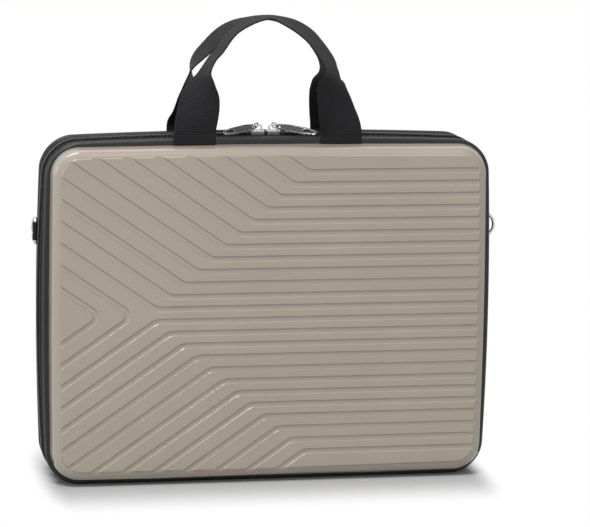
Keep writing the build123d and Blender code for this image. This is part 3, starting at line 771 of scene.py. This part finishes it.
def placed(points, axes, flip=False):
    points = np.asarray(points, dtype=float)
    axes = np.array(axes)
    out = points @ axes[:3, :3].T + axes[:3, 3]
    return out * [-1, 1, 1] if flip else out


def tab_plate():
    """The pull tab's plate: rims round its edge, eye and hole stand above a sunk face."""
    half, shoulder, waist, tip, length, eye = 4.0, 9.0, 26.0, 2.6, 39.0, 2.8
    turn = math.degrees(math.asin((half - eye) / shoulder))
    rim = [arc((0, 0), eye, 90 + turn, 270 - turn, 17),
           arc((shoulder, -half + 6), 6, 262, 270, 4), arc((waist, -half + 9), 9, 270, 278, 5),
           arc((length - tip, 0), tip, -80, 80, 15),
           arc((waist, half - 9), 9, 82, 90, 5), arc((shoulder, half - 6), 6, 90, 98, 4)]
    start, wide, end, narrow = 27.5, 2.2, 35.0, 0.9
    lean = math.degrees(math.asin((wide - narrow) / (end - start)))
    tear = [arc((start, 0), wide, 90 - lean, 270 + lean, 18),
            arc((end, 0), narrow, -90 + lean, 90 - lean, 9)]
    outlines = [evenly(np.concatenate(rim), 0.45), evenly(arc((0, 0), 1.5, 0, 348, 30), 0.35),
                evenly(np.concatenate(tear), 0.4)]
    top, sunk = 0.7, 0.38
    edge = [(-1.0, sunk), (-0.92, top - 0.1), (-0.8, top), (-0.3, top), (-0.09, top - 0.09),
            (0, top - 0.3)]
    return walls(outlines, edge + [(g, -z) for g, z in edge[::-1]])


def pull_tab(hand):
    points, faces, ends = tab_plate()
    axes = pull_axes(TAB_TURN[hand], TAB_ROLL, LINK_RUN + LINK_RADIUS)
    piece(hand + "_pull_plate", placed(points, axes, hand == "left"), faces, satin_metal,
          hand + "_pull", "pull_tab_" + hand, uv=(), sharp=40, ends=ends)


def pull_link(hand):
    """The wire link: two straight strands joined by half circles."""
    flat = np.concatenate([arc((LINK_RUN, 0), LINK_RADIUS, -90, 90, 17),
                           arc((0, 0), LINK_RADIUS, 90, 270, 17)])
    points, faces = tube_of(stood(flat, 0), LINK_WIRE * 0.97, 14)
    points = placed(points, pull_axes(PULL_TURN, LINK_ROLL), hand == "left")
    piece(hand + "_pull_wire", points, faces, bright_metal, hand + "_pull",
          "pull_link_" + hand, sharp=80)


RING_X, RING_Y, RING_Z = 207.287, 18.0, 226.0
RING_WIRE, RING_HALF, RING_DEPTH, RING_TURN = 1.5, 11.2, 17.0, 2.5


def d_ring(hand, side, turn):
    """A D-ring of round wire: straight bar, two short corners and a half circle."""
    start = RING_DEPTH - 2 * RING_WIRE - RING_HALF
    bar = np.linspace(8, -8, 7)
    flat = np.concatenate([
        arc((start, 0), RING_HALF, -90, 90, 33),
        arc((RING_TURN, RING_HALF - RING_TURN), RING_TURN, 90, 180, 8),
        np.column_stack([0 * bar, bar]),
        arc((RING_TURN, RING_TURN - RING_HALF), RING_TURN, 180, 270, 8)])
    points, faces = tube_of(stood(flat, 0), RING_WIRE * 0.98, 18)
    axes = Matrix.Translation((side * RING_X, RING_Y, RING_Z)) @ turned("Z", turn)
    piece(hand + "_ring_wire", placed(points, axes), faces, bright_metal, hand + "_ring",
          "ring_" + hand, sharp=80)


for hand in ("left", "right"):
    bevelled_copy(hand + "_slider_cast", "slider_" + hand, bright_metal, hand + "_slider",
                  0.35, angle=40)
    pull_link(hand)
    pull_tab(hand)
d_ring("right", 1, 0)
d_ring("left", -1, 95)


# ================================================================ webbing loops of the rings
LOOP_STAND, LOOP_RADIUS, LOOP_BORE, LOOP_HALF = 1.1, 3.0, 1.8, 8.25


def ring_loop(hand, side):
    """Webbing that wraps the ring's bar, pinched to a neck and spread to a sewn foot."""
    barrel = LOOP_STAND + LOOP_RADIUS
    foot = [(1.9, 1.6), (1.75, 2.4), (1.55, 3.2), (1.1, 3.7), (0.1, 3.8), (0.1, 0),
            (0.1, -3.8), (1.1, -3.7), (1.55, -3.2), (1.75, -2.4), (1.9, -1.6)]
    outline = np.concatenate([arc((barrel, 0), LOOP_RADIUS, 215, 505, 34), foot])
    sections = [(evenly(ring, 0.4) + [RING_X - barrel, 0]) * [side, 1] + [0, RING_Y]
                for ring in (outline, arc((barrel, 0), LOOP_BORE, 0, 348, 30))]
    if side < 0:
        sections = [ring[::-1] for ring in sections]
    low, high = RING_Z - LOOP_HALF, RING_Z + LOOP_HALF
    rim = [(-0.3, 0.0), (-0.09, 0.105), (0.0, 0.3)]
    levels = [(g, low + z) for g, z in rim] + [(0, z) for z in np.linspace(low, high, 9)[1:-1]]
    levels += [(g, high - z) for g, z in rim[::-1]]
    points, faces, ends = walls(sections, levels)
    uv = [np.column_stack([run_length(ring), np.full(len(ring), z)])
          for ring in sections for _, z in levels]
    piece(hand + "_ring_webbing", points, faces, webbing, "rear_half", "ring_loop_" + hand,
          uv=np.concatenate(uv), ends=ends)


ring_loop("right", 1)
ring_loop("left", -1)


# ================================================================ inside and spine
def sewn(name, rows, body, slot):
    """Stitches along rows of (start, end, outward direction), each row a straight seam."""
    seams = []
    for start, end, out in rows:
        run = np.subtract(end, start)
        along = unit(run)
        places = np.arange(2.0, np.linalg.norm(run) - 1.0, 3.2)[:, None]
        seams.append(many(stitch, start + along * places, along[None], np.cross(out, along),
                          out))
    return piece(name, *joined(seams), thread, body, slot=slot, sharp=80)


def box_of(node):
    low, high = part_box(node)
    return np.array(low) * 1000, np.array(high) * 1000


LINING, LINING_CUT, BINDING = 2.5, 5.5, 6.0


def lining_tray(half, body, side):
    """A foam-backed lining: bound at its rim, soft where its wall turns into its floor."""
    low, high = box_of(half + "_lining")
    rim, floor = sorted(abs(edge[1]) for edge in (low, high))
    inset, cut = HALF_W + SIDE_BOW - high[0], LINING_CUT
    section = [(cut + 1.5, floor), (cut - 0.1, floor - 0.35), (0.35, floor - cut + 0.1),
               (0, floor - cut - 1.5), (0, rim + 1.0), (0.35, rim + 0.3),
               (LINING / 2, rim), (LINING - 0.2, rim + 0.35), (LINING + 0.25, rim + 1.2),
               (LINING + 0.25, rim + BINDING), (LINING - 0.05, rim + BINDING + 0.5)]
    turn = np.array([(LINING, floor - cut - 3.5), (LINING, floor - cut + 0.5),
                     (cut - 0.5, floor - LINING), (cut + 3.5, floor - LINING)])
    for t in np.linspace(0, 1, 9):
        weights = np.array([(1 - t) ** 3, 3 * t * (1 - t) ** 2, 3 * t * t * (1 - t), t ** 3])
        section.append(tuple(weights @ turn))
    run = trim_run(6.0)[:-1]
    rings = [(trim_points(run, -inset - into, (0, 0)), y) for into, y in section]
    middle = np.array([0.0, MIDDLE_Z])
    under, over = rings[0], rings[-1]
    for share in (0.97, 0.85, 0.6, 0.3, 0.05):
        rings.insert(0, (middle + (under[0] - middle) * share, under[1]))
        rings.append((middle + (over[0] - middle) * share,
                      over[1] - 0.25 * (1 - share) ** 0.5))
    made = piece(half + "_lining_pad",
                 np.concatenate([stood(flat, side * y) for flat, y in rings]),
                 grid_faces(len(rings), len(run), False, True, caps=True), lining_cloth, body,
                 half + "_lining", sharp=60)
    return made


front_pad = lining_tray("front", "front_half", -1)
lining_tray("rear", "rear_half", 1)


def cloth_plate(name, mid, thickness, material, body, node):
    """A sheet with rounded edges from a grid of places on its middle surface, y outwards."""
    rows, columns = mid.shape[:2]
    half = np.full((rows, columns), thickness / 2)
    half[[0, -1], :] *= 0.45
    half[:, [0, -1]] *= 0.45
    faces = grid_faces(rows, columns)
    points = []
    for way in (1, -1):
        layer = mid.copy()
        layer[..., 1] += way * half
        points.append(layer.reshape(-1, 3))
    count = rows * columns
    faces += [[i + count for i in face[::-1]] for face in faces]
    rim = [*range(columns)] + [r * columns + columns - 1 for r in range(1, rows)]
    rim += [(rows - 1) * columns + c for c in range(columns - 2, -1, -1)]
    rim += [r * columns for r in range(rows - 2, 0, -1)]
    faces += [[a, b, b + count, a + count] for a, b in zip(rim, rim[1:] + rim[:1])]
    return piece(name, np.concatenate(points), faces, material, body, node, sharp=70)


def pocket():
    """A flat pocket sewn to the front lining by three edges, open and bound at the top."""
    low, high = box_of("front_pocket")
    thick = 1.1
    floor, stand = low[1] + 0.12, high[1] - low[1] - thick
    x = np.concatenate([[low[0], low[0] + 1.2, low[0] + 4, low[0] + 7.5],
                        np.linspace(low[0] + 12, high[0] - 12, 45),
                        [high[0] - 7.5, high[0] - 4, high[0] - 1.2, high[0]]])
    z = np.concatenate([[low[2], low[2] + 1.2, low[2] + 4, low[2] + 7.5],
                        np.linspace(low[2] + 12, high[2] - 1.5, 26), [high[2]]])
    grid_x, grid_z = np.meshgrid(x, z, indexing="xy")
    inward = np.minimum(np.minimum(grid_x - low[0], high[0] - grid_x), grid_z - low[2])
    lift = np.clip((inward - 3.5) / 6, 0, 1)
    lift = lift * lift * (3 - 2 * lift)
    rise = (grid_z - low[2]) / (high[2] - low[2])
    sag = (1 - (grid_x / high[0]) ** 2) * rise ** 1.6 * 1.7
    sag += 0.22 * np.sin(grid_x / 9.5) * np.sin(grid_x / 31 + 1) * rise ** 4
    mid = np.stack([grid_x, floor + thick / 2 + lift * (stand + sag), grid_z], -1)
    made = cloth_plate("front_pocket_cloth", mid, thick, pocket_cloth, "front_half",
                       "front_pocket")
    # The binding: a hem folded over the cloth's top edge.
    top, rows = mid[-1], []
    for drop, reach in ((-8.5, 0.0), (-8.3, 0.42), (-5, 0.5), (-1, 0.5), (0.25, 0.38),
                        (0.6, 0.0), (0.25, -0.38), (-1, -0.5), (-5, -0.5), (-8.3, -0.42)):
        rows.append(top + [0, reach + math.copysign(thick / 2, reach) * (reach != 0), drop])
    points = np.concatenate(rows)
    columns = len(top)
    faces = grid_faces(len(rows), columns, close_rows=True)
    faces += [[r * columns + c for r in range(len(rows))] for c in (0, columns - 1)]
    along = np.tile(top[:, 0], len(rows))
    across = np.repeat(np.arange(len(rows)) * 2.2, columns)
    binding = piece("front_pocket_binding", points, faces, elastic_cloth, "front_half",
                    slot="front_pocket", uv=np.stack([across, along], -1))
    face = floor + thick
    seams = sewn("front_pocket_stitches", [
        ((low[0] + 2.2, face, low[2] + 2), (low[0] + 2.2, face, high[2] - 9), (0, 1, 0)),
        ((high[0] - 2.2, face, low[2] + 2), (high[0] - 2.2, face, high[2] - 9), (0, 1, 0)),
        ((low[0] + 2.2, face, low[2] + 2.2), (high[0] - 2.2, face, low[2] + 2.2), (0, 1, 0))],
        "front_half", "front_pocket")


pocket()


def corner_bands():
    """Four stretched elastic bands across the rear half's corners, a little waisted."""
    places = np.array([v.co for v in nodes["corner_straps"].data.vertices]) * 1000
    low, high = places.min(0), places.max(0)
    quarter = np.sign(places - (low + high) / 2)
    mid_y, half_t = (low[1] + high[1]) / 2, (high[1] - low[1]) / 2
    profile = [(-1, 0), (-0.97, 0.8), (-0.8, 1), (-0.3, 1), (0.3, 1), (0.8, 1),
               (0.97, 0.8), (1, 0), (0.97, -0.8), (0.8, -1), (-0.8, -1), (-0.97, -0.8)]
    steps = 30
    faces = grid_faces(steps + 1, len(profile), False, True, caps=True)
    bands, uv, seams = [], [], []
    for x_side, z_side in ((1, 1), (1, -1), (-1, 1), (-1, -1)):
        own = places[(quarter[:, 0] == x_side) & (quarter[:, 2] == z_side)]
        along = np.array([x_side, 0, -z_side]) / math.sqrt(2)
        across = np.array([x_side, 0, z_side]) / math.sqrt(2)
        run, width = own @ along, own @ across
        centre = (width.min() + width.max()) / 2
        half_w = (width.max() - width.min()) / 2
        # Where the band starts and ends, along its inner and its outer edge.
        spans = []
        for edge in (-1, 1):
            here = run[np.abs(width - centre - edge * half_w) < 0.5]
            spans.append((here.min(), here.max()))
        starts, ends = zip(*spans)
        points = []
        for share in np.arange(steps + 1) / steps:
            waist = 1 - 0.05 * math.sin(math.pi * share)
            for w, t in profile:
                start, end = (np.interp(w, (-1, 1), edges) for edges in (starts, ends))
                place = start + (end - start) * share
                points.append(along * place + across * (centre + w * half_w * waist)
                              + [0, mid_y + t * half_t, 0])
                uv.append((place, w * half_w))
        bands.append((np.array(points), faces))
        for edges, inwards in ((starts, 6), (ends, -6)):
            seams.append([along * (edge + inwards) + across * (centre + out * (half_w - 1.5))
                          + [0, low[1], 0] for edge, out in zip(edges, (-1, 1))]
                         + [(0, -1, 0)])
    piece("corner_bands", *joined(bands), elastic_cloth, "rear_half", "corner_straps",
          uv=np.array(uv), sharp=75)
    sewn("corner_band_stitches", seams, "rear_half", "corner_straps")


corner_bands()


def spine_leaf(half, body, side):
    """One leaf of the hinge: cloth over a thin board, creased at the fold."""
    low, high = box_of(half + "_spine")
    near, far = sorted(abs(edge[1]) for edge in (low, high))
    base, top = low[2], high[2]
    middle, crown = (base + top) / 2, 0.12
    section = [(near + 0.15, middle), (near + 0.3, base + 0.35), (near + 0.9, base + 0.08),
               (near + 3, base), (far - 3, base), (far - 0.7, base + 0.1),
               (far - 0.15, base + 0.5), (far, middle), (far - 0.15, top - 0.5),
               (far - 0.7, top - 0.15), (far - 3, top), ((near + far) / 2, top),
               (near + 3, top - crown), (near + 1.3, top - 0.5), (near + 0.3, top - 0.9)]
    stations = np.concatenate([[low[0], low[0] + 0.5, low[0] + 1.4],
                               np.arange(low[0] + 5, high[0] - 3, 5.0),
                               [high[0] - 1.4, high[0] - 0.5, high[0]]])
    across = np.cumsum([math.dist(section[k], section[k - 1]) for k in range(len(section))])
    rows, uv = [], []
    for x in stations:
        edge = min(x - low[0], high[0] - x)
        pinch = 1 - 0.3 * max(0.0, 1 - edge / 1.4) ** 2
        dip = 0.1 * (0.5 + 0.5 * math.sin(x / 8.1) * math.sin(x / 3.7 + side))
        for (y, z), width in zip(section, across):
            level = middle + (z - middle) * pinch - (dip if z > middle + 0.2 else 0)
            rows.append((x, side * y, level))
            uv.append((x, width))
    faces = grid_faces(len(stations), len(section), False, True, caps=True)
    piece(half + "_spine_cloth", rows, faces, band_cloth, body, half + "_spine",
          uv=np.array(uv), sharp=70)
    level = top - 0.1
    sewn(half + "_spine_stitches", [
        ((low[0] + 2, side * y, level), (high[0] - 2, side * y, level), (0, 0, 1))
        for y in (near + 4.0, far - 2.4)], body, half + "_spine")


for half, body, side in HALVES:
    spine_leaf(half, body, side)
    bevelled_copy(half + "_zip_ends", half + "_zip_stops", coil_nylon, body, 0.55)

# ================================================================ camera
FOCAL, TURN, TILT, ROLL = 3000.0, 0.19194, 0.16576, 0.01456
ahead = Vector((math.sin(TURN) * math.cos(TILT), math.cos(TURN) * math.cos(TILT),
                -math.sin(TILT)))
right = Vector((math.cos(TURN), -math.sin(TURN), 0))
up = right.cross(ahead)
right, up = (math.cos(ROLL) * right + math.sin(ROLL) * up,
             -math.sin(ROLL) * right + math.cos(ROLL) * up)
shift = Vector((-28.06, -136.262, FOCAL / 1.1))
place = -(right * shift.x + up * shift.y + ahead * shift.z) + Vector((-5.96, -45.8, 65.0))
camera = added("camera", bpy.data.cameras.new("camera"))
camera.matrix_world = Matrix((
    (right.x, up.x, -ahead.x, place.x / 1000), (right.y, up.y, -ahead.y, place.y / 1000),
    (right.z, up.z, -ahead.z, place.z / 1000), (0, 0, 0, 1)))
camera.data.sensor_fit = "HORIZONTAL"
camera.data.sensor_width = 36
camera.data.lens = FOCAL / 590 * 36
camera.data.clip_end = 50
bpy.context.scene.camera = camera


# ================================================================ floor and light
FOOT_HALF_WIDTH, FOOT_HALF_DEPTH, SIDE_FADE, FADE = 0.185, 0.03, 4.0, (0.02, 0.115)
LIGHTS_AIM = Vector((0, 0, 0.15))


def camera_share(tree):
    """1 for what the camera sees, itself or in metal, and 0 for light that falls elsewhere."""
    seen = tree.node("LightPath")
    share = seen.outputs["Is Camera Ray"]
    for other in ("Is Glossy Ray", "Is Transmission Ray"):
        share = tree.math("MAXIMUM", share, seen.outputs[other])
    return share


def stage_floor():
    """A floor that keeps the case's real shadow on a grey patch round its footprint, which is
    painted shade, and whitens a hand's width away.
    """
    mesh = bpy.data.meshes.new("floor")
    mesh.from_pydata([(-8, -8, 0), (8, -8, 0), (8, 8, 0), (-8, 8, 0)], [], [(0, 1, 2, 3)])
    material = bpy.data.materials.new("pale_floor")
    material.use_nodes = True
    tree = Nodes(material.node_tree)
    tree.tree.nodes.remove(tree.tree.nodes["Principled BSDF"])

    def beyond(coordinate, edge):
        return tree.math("MAXIMUM", tree.math(
            "SUBTRACT", tree.math("ABSOLUTE", coordinate), edge), 0)

    spot = tree.node("SeparateXYZ")
    tree.link(tree.node("TexCoord").outputs["Object"], spot.inputs[0])
    side = tree.math("MULTIPLY", beyond(spot.outputs[0], FOOT_HALF_WIDTH), SIDE_FADE)
    face = beyond(spot.outputs[1], FOOT_HALF_DEPTH)
    distance = tree.math("SQRT", tree.math("ADD", tree.math("POWER", side, 2),
                                           tree.math("POWER", face, 2)))
    # Within FADE of the footprint the floor shows its grey diffuse colour with the real shadow on
    # it: that grey patch is painted shade.
    whiten = tree.node("MapRange", interpolation_type="SMOOTHSTEP", From_Min=FADE[0],
                       From_Max=FADE[1])
    tree.link(distance, whiten.inputs["Value"])
    diffuse = tree.node("BsdfDiffuse", Color=(0.5, 0.5, 0.504, 1))
    share = tree.math("MULTIPLY", whiten.outputs[0], camera_share(tree))
    choose = tree.node("MixShader")
    for slot, source in zip(choose.inputs, (share, diffuse.outputs[0],
                                            tree.node("Emission").outputs[0])):
        tree.link(source, slot)
    tree.link(choose.outputs[0], tree.tree.nodes["Material Output"].inputs[0])
    mesh.materials.append(material)
    added("floor", mesh)


def area_light(name, place, size, power):
    light = bpy.data.lights.new(name, "AREA")
    light.shape = "RECTANGLE"
    light.size, light.size_y = size
    light.energy = power
    made = added(name, light)
    made.location = place
    made.rotation_euler = (LIGHTS_AIM - Vector(place)).to_track_quat("-Z", "Y").to_euler()


stage_floor()
area_light("overhead", (0.1, 0.35, 2.4), (2.2, 1.2), 12)
area_light("key", (-2.7, -0.85, 0.85), (0.9, 0.9), 15)
area_light("top_softbox", (-0.9, -1.2, 2.4), (1.5, 0.6), 52)
area_light("front_strip", (0.3, -2.7, 1.35), (2.4, 0.2), 13)

world = bpy.data.worlds.new("studio")
bpy.context.scene.world = world
world.use_nodes = True
studio = Nodes(world.node_tree)
sky = world.node_tree.nodes["Background"]
sky.inputs["Color"].default_value = (1, 1, 1, 1)
level = studio.node("MapRange", To_Min=0.28, To_Max=1.0)
studio.link(camera_share(studio), level.inputs["Value"])
studio.link(level.outputs[0], sky.inputs["Strength"])

bpy.context.scene.view_settings.view_transform = "Standard"
